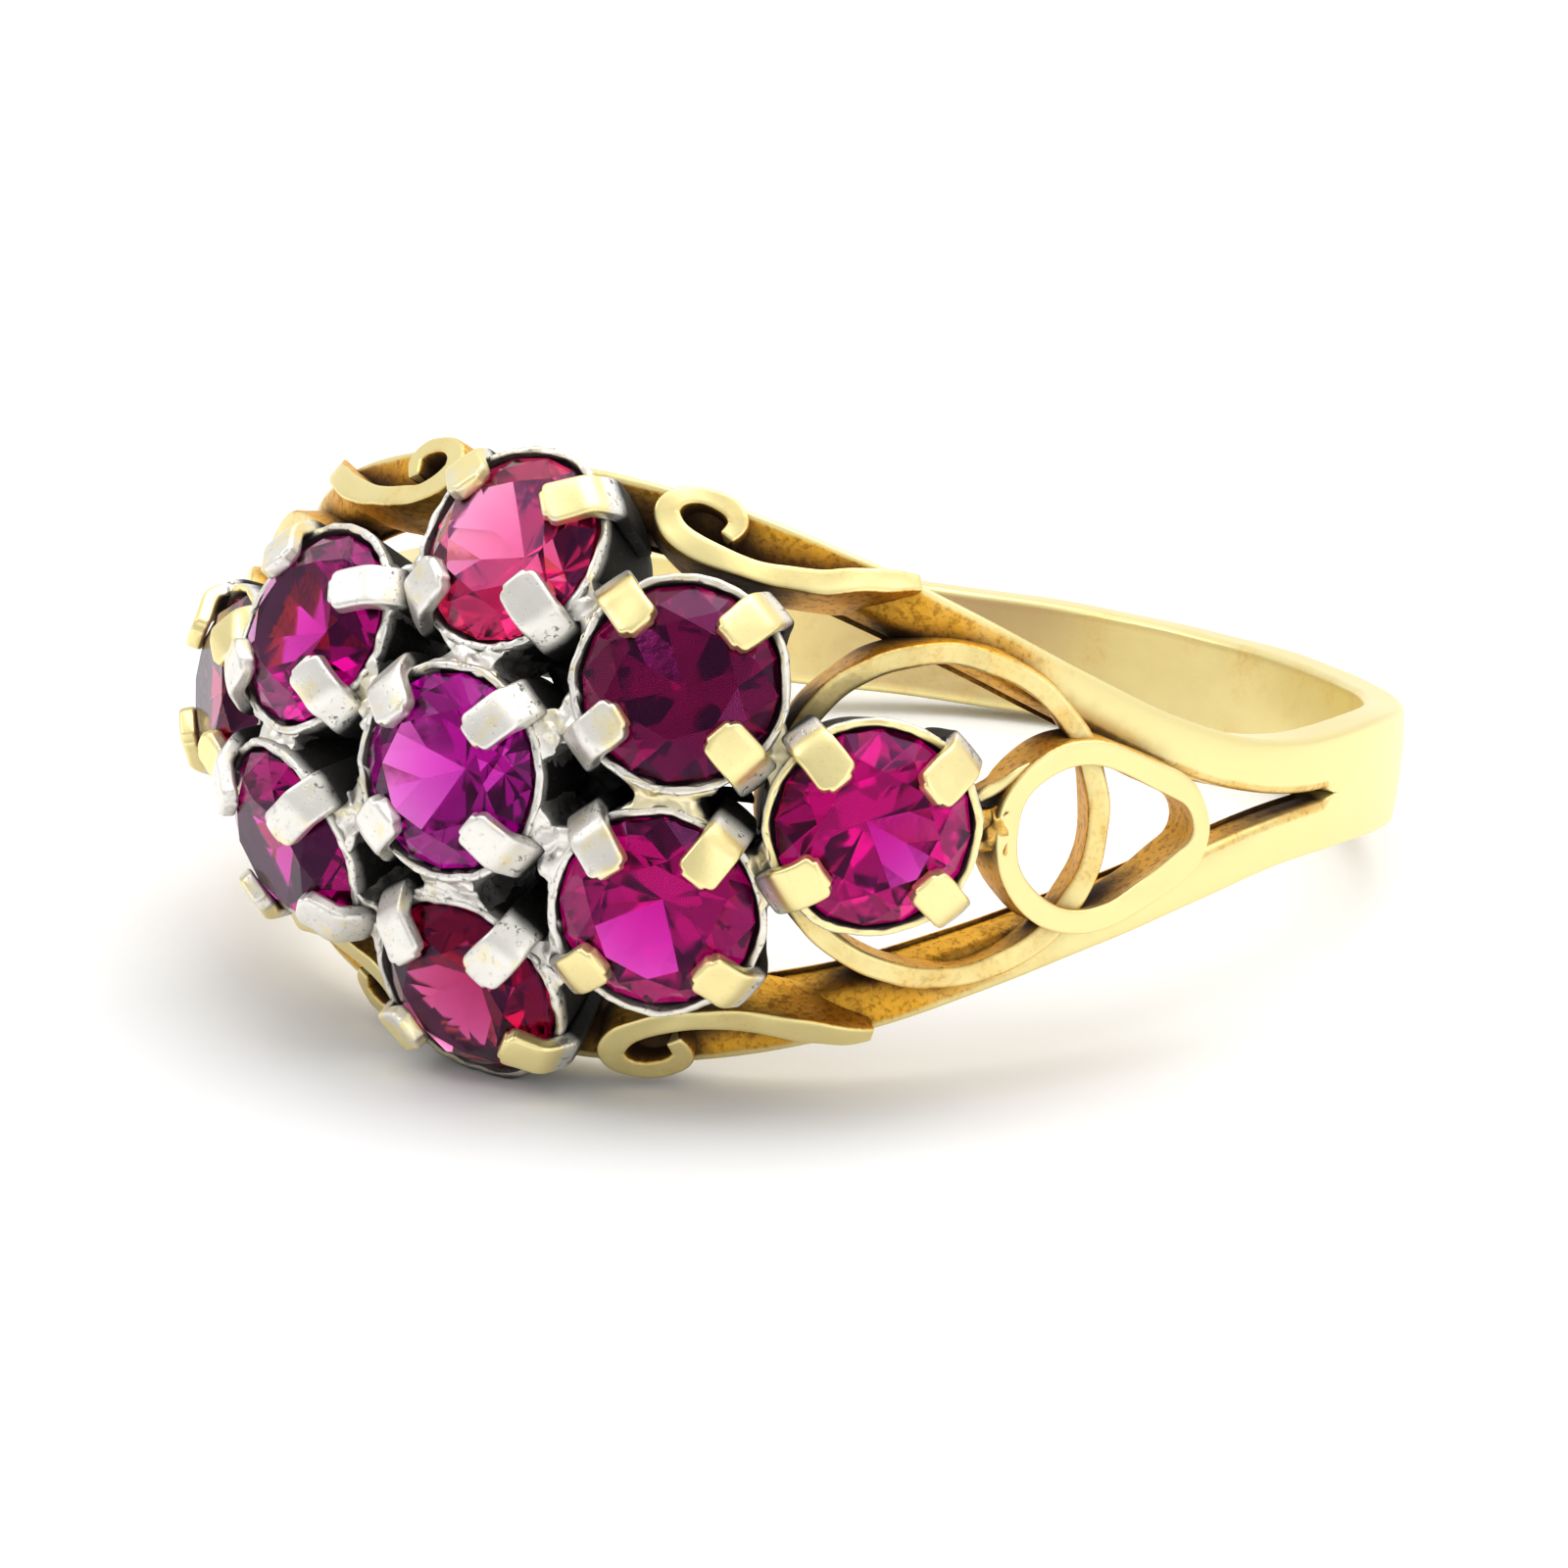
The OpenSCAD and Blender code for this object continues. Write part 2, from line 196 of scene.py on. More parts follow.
# %% An outline, and the strip that it sweeps
def rounded_outline(flat=5, arc=3):
    """A closed rectangle outline in two lists: corner, from -1 to 1, says which way to go from
    the middle to the centre of the nearest rounding, and arc says which way to go from there,
    by its radius. Each side has some flat points, and each corner a quarter circle."""
    corners = np.array([[1, 1], [-1, 1], [-1, -1], [1, -1]], float)
    corner, round_to = [], []
    for n in range(4):
        turn = np.radians(90 * n + np.linspace(0, 90, arc + 1))
        corner.append(np.repeat(corners[n][None], arc + 1, 0))
        round_to.append(np.stack([np.cos(turn), np.sin(turn)], 1))
        t = np.linspace(0, 1, flat + 2)[1:-1, None]
        corner.append(corners[n] * (1 - t) + corners[(n + 1) % 4] * t)
        facing = math.radians(90 * (n + 1))
        round_to.append(np.repeat([[math.cos(facing), math.sin(facing)]], flat, 0))
    return np.concatenate(corner), np.concatenate(round_to)


def unit(vectors):
    """Vectors brought to length 1."""
    return vectors / np.linalg.norm(vectors, axis=-1, keepdims=True)


def sweep(path, up, width, height, edge, closed=False, crown=0.0, flat=5):
    """A strip along a path: at each point a rectangle with round edges, its width square to the
    path and its height along up. The top bulges by crown in the middle of its width. An open
    strip's ends are rounded over a length of one edge radius, where both sides draw in along a
    quarter circle. A point's worn value is 1 on the top and falls towards the bottom."""
    path = np.asarray(path, float)
    width = np.broadcast_to(width, len(path)).astype(float)
    height = np.broadcast_to(height, len(path)).astype(float)
    up = np.broadcast_to(up, path.shape)
    run = np.roll(path, -1, 0) - np.roll(path, 1, 0) if closed else np.gradient(path, axis=0)
    run = unit(run)
    shrink = np.ones(len(path))
    if not closed:
        turn = np.radians([78, 52, 26])
        ahead = edge * np.sin(turn)[:, None]
        path = np.concatenate([path[:1] - ahead * run[:1], path, path[-1:] + ahead[::-1] * run[-1:]])
        copies = [len(turn)] + [0] * (len(run) - 2) + [len(turn)]
        grow = np.repeat(np.arange(len(run)), np.array([1 + c for c in copies]))
        run, up, width, height = run[grow], up[grow], width[grow], height[grow]
        shrink = np.concatenate([np.cos(turn), shrink, np.cos(turn[::-1])])
    side = unit(np.cross(run, up))
    up = unit(np.cross(side, run))
    corner, arc = rounded_outline(flat)
    half_w, half_h = width[:, None] / 2 - edge, height[:, None] / 2 - edge
    across = corner[None, :, 0] * half_w + arc[None, :, 0] * (edge * shrink)[:, None]
    above = corner[None, :, 1] * half_h + arc[None, :, 1] * (edge * shrink)[:, None]
    above = above + crown * (arc[None, :, 1] > 0.5) * (1 - corner[None, :, 0] ** 2)
    sections = path[:, None] + across[..., None] * side[:, None] + above[..., None] * up[:, None]
    level = (above / (height[:, None] / 2) + 1) / 2
    worn = np.where(arc[None, :, 1] > 0.6, 1.0, 0.6 * np.clip(level, 0, 1) ** 2)
    return shell(sections, worn, closed)


def smooth_curve(rows, steps):
    """A curve through the rows of a table, by the Catmull-Rom formula: between rows b and c it
    leaves b along c - a and reaches c along d - b, as a cubic in the share t of the way."""
    rows = np.asarray(rows, float)
    held = np.concatenate([rows[:1], rows, rows[-1:]])
    a, b, c, d = held[:-3, None], held[1:-2, None], held[2:-1, None], held[3:, None]
    t = (np.arange(steps) / steps)[None, :, None]
    square, cube = 2 * a - 5 * b + 4 * c - d, 3 * b - a - 3 * c + d
    cubic = 0.5 * (2 * b + (c - a) * t + square * t ** 2 + cube * t ** 3)
    return np.concatenate([cubic.reshape(-1, rows.shape[1]), rows[-1:]])


# %% [markdown]
# ## The hand in hand-made
# A hammered face, a filed edge and a lump of solder all wander by a few hundredths of a
# millimetre. The sum of sine waves in random directions is a smooth field with no seams, so
# it can move the points of any piece. Fine grain would need far too many points and is
# left to the materials.

# %% A smooth random field
def ripple(points, size, seed):
    """A smooth field of about -1 to 1 whose bumps are about size mm wide: the sum of sine waves
    that run in random directions from random starts, over the peak that such a sum often has."""
    rng = np.random.default_rng(seed)
    count, usual_peak = 14, 3.2
    directions = unit(rng.normal(size=(count, 3)))
    waves = directions * (2 * np.pi / size) * rng.uniform(0.7, 1.4, (count, 1))
    return np.sin(points @ waves.T + rng.uniform(0, 2 * np.pi, count)).sum(1) / usual_peak


def wandering(part, size, depth, seed):
    """A shell whose points have been moved by up to about depth mm, each way by its own ripple."""
    points = part["points"]
    move = np.stack([ripple(points, size, seed + n) for n in range(3)], 1)
    return {**part, "points": points + depth * move}


def filed_flush(part, spare=0.02):
    """A shell filed flush with the finger hole and with the floor: points nearer the axis move
    straight out to the hole's wall, and points below the floor move up to it."""
    points = part["points"].copy()
    r = np.hypot(points[:, 0], points[:, 1])
    short = r < finger_r + spare
    points[short, :2] *= ((finger_r + spare) / r[short])[:, None]
    low = np.minimum(laid_down(points)[:, 2] / MM - 0.003, 0)
    points[:, 2] -= low / math.cos(tilt)
    return {**part, "points": points}


# %% [markdown]
# ## The metals
# Yellow gold and the white plating are both metals, so both have metallic 1 and differ in
# colour and roughness. What makes them look real is where they change: on the rubbed faces,
# on the grainy sides below them, and in the corners, where dirt lies over the metal and
# painted shade darkens it further.

# %% Small helpers for node materials
def linear(hex_colour):
    """An sRGB hex colour as linear red, green, blue and 1."""
    s = np.array([int(hex_colour[n:n + 2], 16) / 255 for n in (1, 3, 5)])
    values = np.where(s <= 0.04045, s / 12.92, ((s + 0.055) / 1.055) ** 2.4)
    return (*(float(v) for v in values), 1.0)


def set_inputs(tree, node, inputs):
    """Gives each named input of a node a value or a link."""
    for key, value in inputs.items():
        if isinstance(value, bpy.types.NodeSocket):
            tree.links.new(value, node.inputs[key])
        else:
            node.inputs[key].default_value = value


def add_node(tree, kind, settings=None, inputs=None, out=0):
    """Adds a node, sets its properties and inputs, and returns one of its output sockets."""
    node = tree.nodes.new(kind)
    for key, value in (settings or {}).items():
        setattr(node, key, value)
    set_inputs(tree, node, inputs or {})
    return node.outputs[out]


def new_material(name):
    """A material with a Principled shader alone, and its tree and shader."""
    material = bpy.data.materials.new(name)
    material.use_nodes = True
    return material, material.node_tree, material.node_tree.nodes["Principled BSDF"]


def grains(tree, place, size_mm, detail=2.0, roughness=0.5):
    """Noise from 0 to 1 whose grains are size_mm wide."""
    return add_node(tree, "ShaderNodeTexNoise", None, {
        "Vector": place, "Scale": 1 / (size_mm * MM), "Detail": detail, "Roughness": roughness,
    })


def between(tree, value, low, high, to_low=0.0, to_high=1.0):
    """A value turned from the range low to high into another range, and kept inside it."""
    return add_node(tree, "ShaderNodeMapRange", {"interpolation_type": "SMOOTHSTEP"}, {
        "Value": value, "From Min": low, "From Max": high, "To Min": to_low, "To Max": to_high,
    })


def mixed(tree, share, first, second):
    """Two colours mixed by a share. The node's colour inputs are its sockets 6 and 7."""
    colours = {0: share, 6: first, 7: second}
    return add_node(tree, "ShaderNodeMix", {"data_type": "RGBA"}, colours, 2)


def sum_up(tree, how, first, second, third=0.0):
    """Arithmetic on two or three values."""
    return add_node(tree, "ShaderNodeMath", {"operation": how}, {0: first, 1: second, 2: third})


def openness(tree, place, reach_mm, blotch_mm, uneven):
    """About 0 deep in a corner and 1 on an open face, made uneven by a noise; it sets where dirt and
    painted shade darken the corners.
    """
    lit = {"Distance": reach_mm * MM}
    is_open = add_node(tree, "ShaderNodeAmbientOcclusion", {"samples": 6}, lit, "AO")
    return sum_up(tree, "MULTIPLY_ADD", grains(tree, place, blotch_mm, 3), uneven, is_open)


def bumps(tree, height, depth_mm):
    """A surface bumped by depth_mm for each unit of height."""
    return add_node(tree, "ShaderNodeBump", None, {"Height": height, "Distance": depth_mm * MM})


# %% [markdown]
# ## Yellow gold
# The strips and the hoop are yellow gold of about 14 carats, cast or rolled, then filed and
# polished by hand. Rubbing reaches the raised faces, which are pale and nearly smooth. The
# faces between them keep a deeper colour and the grain of the casting. Every corner that the
# occlusion node finds is painted dark brown: partly old polishing paste dried there, partly
# painted shade.

# %% Yellow gold
def yellow_gold_material():
    """Polished and worn yellow gold, by the worn attribute, a noise and the corners, which are painted
    dark brown for dried paste and for shade.
    """
    material, tree, shader = new_material("yellow gold, filed and hand polished")
    place = add_node(tree, "ShaderNodeTexCoord", out="Object")
    worn = add_node(tree, "ShaderNodeAttribute", {"attribute_name": "worn"}, out="Fac")
    patches = grains(tree, place, 0.8, 3)
    skin = grains(tree, place, 0.11, 3, 0.6)
    rubbed = between(tree, sum_up(tree, "MULTIPLY_ADD", patches, 0.5, worn), 0.55, 1.05)
    unrubbed = sum_up(tree, "SUBTRACT", 1.0, rubbed)
    colour = mixed(tree, rubbed, linear("#EAB03A"), linear("#F4E5A4"))
    speckle = sum_up(tree, "MULTIPLY", between(tree, skin, 0.48, 0.66), unrubbed)
    colour = mixed(tree, sum_up(tree, "MULTIPLY", speckle, 0.65), colour, linear("#935D16"))
    # Painted shade and dried paste: corners found by the occlusion node are mixed towards dark brown
    # #3A2206, less on rubbed faces.
    paste_and_painted_shade = between(tree, openness(tree, place, 0.85, 0.3, 0.35), 0.53, 1.05, 1.0, 0.0)
    paste_and_painted_shade = sum_up(tree, "MULTIPLY", paste_and_painted_shade, between(tree, rubbed, 0.0, 1.0, 1.0, 0.35))
    colour = mixed(tree, paste_and_painted_shade, colour, linear("#3A2206"))
    dull = sum_up(tree, "MULTIPLY_ADD", unrubbed, 0.12, 0.36)
    height = sum_up(tree, "MULTIPLY", skin, sum_up(tree, "MULTIPLY_ADD", unrubbed, 0.9, 0.1))
    dents = grains(tree, place, 0.5, 1)
    set_inputs(tree, shader, {
        "Base Color": colour,
        "Metallic": sum_up(tree, "MULTIPLY_ADD", paste_and_painted_shade, -0.7, 1.0),
        "Roughness": sum_up(tree, "MULTIPLY_ADD", paste_and_painted_shade, 0.25, dull),
        "Normal": bumps(tree, sum_up(tree, "MULTIPLY_ADD", dents, 0.4, height), 0.016),
    })
    return material


gold = yellow_gold_material()

# %% [markdown]
# ## White plating
# The cups and claws are pale metal under a white plating, satin from pitting. On the claws at
# the edge of the head the plating has gone from the tips, and the yellow metal shows. Below
# the rims and deep in the corners the metal is painted nearly black: partly oxide and dirt where
# nothing rubs, partly painted shade. The yellow starts at a distance from the middle of the
# head, made uneven by a noise.

# %% White plated gold
# The plating is whole round this point, in ring coordinates, and worn through this far from it
plating = {"middle": [-1.2, -12.0, 0.0], "whole": 5.3, "gone": 5.9, "uneven": 2.2}


def white_gold_material():
    """Satin white plating, yellow where the outer tips are worn through, painted black down in the gaps
    for oxide and for shade.
    """
    material, tree, shader = new_material("white plated gold, worn through at the tips")
    place = add_node(tree, "ShaderNodeTexCoord", out="Object")
    worn = add_node(tree, "ShaderNodeAttribute", {"attribute_name": "worn"}, out="Fac")
    patches = grains(tree, place, 0.6, 3)
    pits = grains(tree, place, 0.11, 3, 0.65)
    middle = tuple(laid_down(np.array([plating["middle"]]))[0])
    how = {"operation": "DISTANCE"}
    from_middle = add_node(tree, "ShaderNodeVectorMath", how, {0: place, 1: middle}, "Value")
    edge_of_head = sum_up(tree, "MULTIPLY_ADD", patches, plating["uneven"] * MM, from_middle)
    far_out = between(tree, edge_of_head, plating["whole"] * MM, plating["gone"] * MM)
    through = sum_up(tree, "MULTIPLY", far_out, between(tree, worn, 0.75, 1.0))
    white = mixed(tree, patches, linear("#DFDCD5"), linear("#FBF8F1"))
    stain = between(tree, grains(tree, place, 0.45, 2), 0.54, 0.7, 0.0, 0.65)
    white = mixed(tree, sum_up(tree, "MULTIPLY", stain, worn), white, linear("#F1E4B4"))
    colour = mixed(tree, through, white, linear("#F8E8A8"))
    unworn = between(tree, worn, 0.6, 1.0, 1.0, 0.3)
    pitted = sum_up(tree, "MULTIPLY", between(tree, pits, 0.55, 0.7), unworn)
    pitted = sum_up(tree, "MULTIPLY", pitted, sum_up(tree, "MULTIPLY_ADD", through, -0.7, 1.0))
    colour = mixed(tree, sum_up(tree, "MULTIPLY", pitted, 0.8), colour, linear("#4E4A44"))
    # Painted shade and oxide: corners found by the occlusion node, and everything below the rims where
    # the worn value is low, are mixed towards near black #12100D.
    shaded = between(tree, openness(tree, place, 0.7, 0.25, 0.3), 0.4, 0.85, 1.0, 0.0)
    oxide_and_shade_below_rim = between(tree, sum_up(tree, "MULTIPLY_ADD", patches, 0.3, worn), 0.25, 0.75, 1.0, 0.0)
    shaded = sum_up(tree, "MULTIPLY", shaded, between(tree, worn, 0.8, 1.0, 0.95, 0.5))
    oxide_and_painted_shade = sum_up(tree, "MAXIMUM", shaded, oxide_and_shade_below_rim)
    colour = mixed(tree, oxide_and_painted_shade, colour, linear("#12100D"))
    dull = sum_up(tree, "MULTIPLY_ADD", through, -0.06, 0.4)
    height = sum_up(tree, "MULTIPLY_ADD", patches, 0.35, sum_up(tree, "MULTIPLY", pitted, -1.0))
    set_inputs(tree, shader, {
        "Base Color": colour,
        "Metallic": sum_up(tree, "MULTIPLY_ADD", oxide_and_painted_shade, -0.7, 1.0),
        "Roughness": sum_up(tree, "MULTIPLY_ADD", oxide_and_painted_shade, 0.25, dull),
        "Normal": bumps(tree, sum_up(tree, "MULTIPLY_ADD", pits, 0.25, height), 0.014),
    })
    return material


white_gold = white_gold_material()

# %% [markdown]
# ## The hoop
# The hoop is one casting: round the back it is a plain slim band, at each shoulder a slit
# opens in it, and from there its two arms run on under the head as rails. It could be cut
# with booleans, which leave ragged edges to bevel. Instead each half of the band, upper
# and lower, is one outline carried all the way round, from the slit's edge to the outer
# edge. Where there is no slit the two halves meet at points in the same places in the middle of the
# band.

# %% Sizes of the hoop
hoop = {
    "t": 0.75, "back_w": 2.0, "head_w": 9.7, "rail_w": 0.9, "slit_back": 0.3,
    "slit_edge": 0.12, "outer_edge": 0.11, "crown": 0.06,
}
rise = {"most": 0.3, "at": 1.75, "reach": 6.0}
hoop_r = finger_r + hoop["t"]


def band_middle(y):
    """How far the middle of the band lies over the hoop's own middle plane at y: a cosine bump."""
    near = np.clip(np.abs(y - rise["at"]) / rise["reach"], 0, 1)
    return rise["most"] * np.cos(near * np.pi / 2) ** 2


def band_half_width(y):
    """Half the band's width: straight at the back, then swelling to the head as 1 - (1 - t^2)^1.2,
    where t is how far forward y is."""
    t = np.clip(-y / hoop_r, 0, 1)
    return hoop["back_w"] / 2 + (hoop["head_w"] - hoop["back_w"]) / 2 * (1 - (1 - t ** 2) ** 1.2)


def slit_half_width(y):
    """Half the gap between the two arms: the half width less an arm, drawn to a point at the back."""
    open_here = band_half_width(y) - hoop["rail_w"]
    to_point = np.clip(1 - y / hoop["slit_back"], 0, 1)
    return open_here * np.where(y < 0, 1.0, to_point)


# %% Carry one outline round for each half of the band
# The outline's first places are the slit's wall: two quarter circles of 5, and 1 between them
WALL_PLACES = 11


def half_band(side, steps=420):
    """The upper (side 1) or lower (-1) half of the band as a grid: angle round the finger by
    place on the outline. The outline starts on the inner face at the slit's edge, goes up the
    slit's wall, over the outer face and back under. Edge radii shrink to nothing where the
    slit closes."""
    angle = np.linspace(-np.pi, np.pi, steps, endpoint=False)
    quarter = np.radians(np.linspace(0, 90, 5))
    flat = np.linspace(0, 1, 9)[1:-1]
    # Each entry: share of the way to the outer edge, radii from the slit's edge, radii from the
    # outer edge, share of the thickness, radii in from the outer face
    entries = []
    entries += [(0, 1 - math.sin(q), 0, 0, -(1 - math.cos(q))) for q in quarter[::-1]]
    entries += [(0, 0, 0, 0.5, 0)]
    entries += [(0, 1 - math.cos(q), 0, 1, 1 - math.sin(q)) for q in quarter]
    entries += [(f, 1 - f, f, 1, 0) for f in flat]
    entries += [(1, 0, 1 - math.sin(q), 1, 1 - math.cos(q)) for q in quarter]
    entries += [(1, 0, 0, f, 0) for f in (0.75, 0.5, 0.25)]
    entries += [(1, 0, 1 - math.cos(q), 0, -(1 - math.sin(q))) for q in quarter]
    entries += [(f, 1 - f, f, 0, 0) for f in flat[::-1]]
    way, from_slit, from_edge, thick, inset = np.array(entries).T
    rough_y = -hoop_r * np.cos(angle)[:, None]
    slit_edge = np.clip(slit_half_width(rough_y) * 1.5, 0, hoop["slit_edge"])
    edge = np.where(way[None] < 0.5, slit_edge, hoop["outer_edge"])
    out = finger_r + thick[None] * hoop["t"] - inset[None] * edge
    y = -out * np.cos(angle)[:, None]
    slit, half = slit_half_width(y), band_half_width(y)
    # The outer face is a shallow crown across the whole band at the back, across each arm in front
    start = slit + from_slit[None] * slit_edge
    end = half - from_edge[None] * hoop["outer_edge"]
    across = start * (1 - way[None]) + end * way[None]
    middle = np.clip(slit / 0.3, 0, 1) * (slit + half) / 2
    fallen = hoop["crown"] * ((across - middle) / (half - middle)) ** 2
    out = out - np.where(thick[None] > 0.9, fallen, 0.0)
    z = band_middle(y) + side * across
    grid = np.stack([out * np.sin(angle)[:, None], -out * np.cos(angle)[:, None], z], -1)
    # Fingers rub the shank and the outer edges bright, and leave the face between the strips
    from_head = np.clip((np.abs(np.degrees(angle)) - 36) / 26, 0, 1)[:, None]
    face = 0.2 + 0.75 * from_head
    worn = np.where(way[None] == 1, np.maximum(0.75, face), face)
    worn = np.where(thick[None] == 0, 0.75, worn)
    wall = np.clip(slit / 0.1, 0, 1) * (way[None] == 0)
    worn = worn * (1 - wall) + wall * (0.1 + 0.5 * (thick[None] > 0.9) * face)
    return grid, worn, slit


def hoop_shell():
    """Both halves joined: the slit's wall is left out where the slit is shut, and the two halves
    then meet at points in the same places, which stay separate."""
    parts = []
    for side in (1, -1):
        grid, worn, slit = half_band(side)
        part = shell(grid, worn, closed=True)
        rows, columns = grid.shape[:2]
        shut = (slit <= 1e-9).all(1)
        quad_row = np.repeat(np.arange(rows), columns)
        quad_column = np.tile(np.arange(columns), rows)
        gone = shut[quad_row] & shut[(quad_row + 1) % rows] & (quad_column < WALL_PLACES - 1)
        part["quads"] = part["quads"][~gone]
        parts.append(part)
    return joined(parts)


hoop_piece = make_piece("hoop", wandering(hoop_shell(), 2.5, 0.007, 3), gold)

# %% [markdown]
# ## Scrolls
# Each scroll is a strip bent on edge with round pliers: a long tail that lies along the rail,
# and a curled end. A table gives the middle line in the plane of the scroll and the width
# of the hammered strip there; a smooth curve through it gives the path. The same scroll is
# mirrored over the head and from left to right.

# %% Sweep the scrolls
scroll_plane = {"around": 29.0, "out": 9.73, "up": 4.07, "lean": 28.0}
strip_h = 1.05
# How far along the rail, how far up, and the width of the strip, in mm
SCROLL = [
    [1.05, -0.2, 0.3],
    [0.55, -0.32, 0.42],
    [-0.25, -0.46, 0.44],
    [-1.15, -0.42, 0.38],
    [-2.05, -0.22, 0.4],
    [-2.6, 0.06, 0.44],
    [-2.85, 0.42, 0.46],
    [-2.68, 0.7, 0.38],
    [-2.28, 0.78, 0.3],
    [-1.86, 0.65, 0.34],
    [-1.68, 0.4, 0.36],
    [-1.82, 0.14, 0.28],
]


def plane_axes(around, lean=0.0):
    """The three directions of a piece that lies on the ring: round the ring, up, and out."""
    out = outward(around, lean)
    round_ring = along(around)
    return round_ring, np.cross(out, round_ring), out


def scroll_shell():
    """One scroll, at the upper right: its middle line in its plane, swept with its own widths. The
    last millimetre of its tail is hammered down onto the rail."""
    rows = smooth_curve(SCROLL, 8)
    tail = np.clip((rows[:, :1] - 0.05) / 1.0, 0, 1) ** 2
    round_ring, up, out = plane_axes(scroll_plane["around"], scroll_plane["lean"])
    centre = scroll_plane["out"] * outward(scroll_plane["around"]) + scroll_plane["up"] * UP
    path = centre + rows[:, :1] * round_ring + rows[:, 1:2] * up - (strip_h / 2 + 0.36 * tail) * out
    part = sweep(path, out, rows[:, 2], strip_h, 0.05)
    return {**part, "worn": 0.75 * part["worn"]}


scroll = scroll_shell()
scrolls = {
    "scroll_right_top": scroll,
    "scroll_right_bottom": mirrored(scroll, 2),
    "scroll_left_top": mirrored(scroll, 0),
    "scroll_left_bottom": mirrored(mirrored(scroll, 0), 2),
}
for number, (name, part) in enumerate(scrolls.items()):
    part = filed_flush(wandering(part, 0.9, 0.014, 40 + 3 * number))
    make_piece(name, part, gold)

# %% [markdown]
# ## Loops and teardrops
# A loop is a plain ring of strip that lies on both rails round the outside of an end stone.
# The teardrop is bent round a mandrel and pinched to a point, so its strip is thick at the
# round end and thin at the tip. Two outlines, an outer and an inner, give its middle line
# and its width at every place.

# %% Sweep the loops and the teardrops
loop_place = {"around": 40.8, "out": 9.82, "d": 5.7, "t": 0.37}
drop_place = {"around": 54.5, "out": 10.3, "up": -0.12, "turn": 8.0}
drop_size = {"r": 1.6, "tip_r": 1.1, "reach": 2.2, "t": 0.4, "hole_tip_r": 0.5, "tip_t": 0.3}


def loop_shell():
    """A circle of strip in the plane that faces out at the loop's angle."""
    round_ring, up, out = plane_axes(loop_place["around"])
    turn = np.linspace(0, 2 * np.pi, 144, endpoint=False)[:, None]
    r = (loop_place["d"] - loop_place["t"]) / 2
    middle = (loop_place["out"] - strip_h / 2) * out
    path = middle + r * (np.cos(turn) * round_ring + np.sin(turn) * up)
    part = sweep(path, out, loop_place["t"], strip_h, 0.06, closed=True)
    return {**part, "worn": 0.65 * part["worn"]}


def drop_outline(r, tip_r, reach, count):
    """A round outline with one rounded point, as count points evenly spaced along it: a circle
    about the middle, a small circle near the tip, and the two lines that touch both."""
    opening = math.acos((r - tip_r) / (reach - tip_r))
    big = np.linspace(opening, 2 * np.pi - opening, 90)
    small = np.linspace(-opening, opening, 40)
    circle = r * np.stack([np.cos(big), np.sin(big)], 1)
    tip = tip_r * np.stack([np.cos(small), np.sin(small)], 1) + [reach - tip_r, 0]
    corners = np.concatenate([tip[20:], circle, tip[:21]])
    length = np.concatenate([[0], np.cumsum(np.linalg.norm(np.diff(corners, axis=0), axis=1))])
    at = np.linspace(0, length[-1], count, endpoint=False)
    return np.stack([np.interp(at, length, corners[:, n]) for n in range(2)], 1)


def teardrop_shell():
    """The strip between the drop's outer outline and its hole, turned a little towards the upper
    arm."""
    size, turn = drop_size, math.radians(drop_place["turn"])
    outer = drop_outline(size["r"], size["tip_r"], size["reach"], 144)
    inner = drop_outline(size["r"] - size["t"], size["hole_tip_r"], size["reach"] - size["tip_t"], 144)
    c, s = math.cos(turn), math.sin(turn)
    turned = (outer + inner) / 2 @ np.array([[c, s], [-s, c]])
    round_ring, up, out = plane_axes(drop_place["around"])
    centre = (drop_place["out"] - strip_h / 2) * out + drop_place["up"] * UP
    path = centre + turned[:, :1] * round_ring + turned[:, 1:] * up
    width = np.linalg.norm(outer - inner, axis=1)
    return sweep(path, out, width, strip_h, 0.05, closed=True)


for number, (name, part) in enumerate((("loop", loop_shell()), ("teardrop", teardrop_shell()))):
    for side, placed in (("right", part), ("left", mirrored(part, 0))):
        seed = 70 + 10 * number + (side == "left")
        placed = filed_flush(wandering(placed, 1.1, 0.014, seed))
        make_piece(f"{name}_{side}", placed, gold)

# %% [markdown]
# ## Seats for the stones
# Each cup stands a little differently, as the maker left it. One table holds where each one
# is and how its stone is turned. Everything on a seat, the cup, its claws and the solder that
# holds it, is worked out in the seat's own directions: down the stone, to the right of it,
# and straight out of it.

# %% Where each seat is
# Angle round the finger, out from its middle, up along it, and which way the stone faces and leans
SEATS = {
    "centre": (0, 12.0, 0, 0, 0),
    "top": (0, 10.85, 3.55, -5, 26),
    "bottom": (0, 10.8, -3.65, 0, -29),
    "right_top": (17.8, 11.5, 1.95, 25, 16),
    "right_bottom": (17.8, 11.5, -1.75, 24, -12),
    "left_top": (-17.8, 11.55, 1.65, -20, 19),
    "left_bottom": (-17.8, 11.55, -1.85, -25, -25),
    "right_end": (34.4, 11.4, 0, 43, 0),
    "left_end": (-34.2, 11.03, 0, -42, 0),
}
cup_size = {"seat_r": 1.66, "t": 0.14, "h": 2.0, "foot_r": 1.45, "rim_h": 0.1}
rim_r = cup_size["seat_r"] + cup_size["t"]
stone_size = {"r": 1.6, "below": 1.35, "girdle_t": 0.08, "gap": 0.06}


def seat_axes(name):
    """The middle of a seat's girdle and its three directions: down, right and out."""
    around, out, up, facing, lean = SEATS[name]
    centre = out * outward(around) + up * UP
    straight_out = outward(facing, lean)
    right = along(facing)
    return centre, np.cross(right, straight_out), right, straight_out


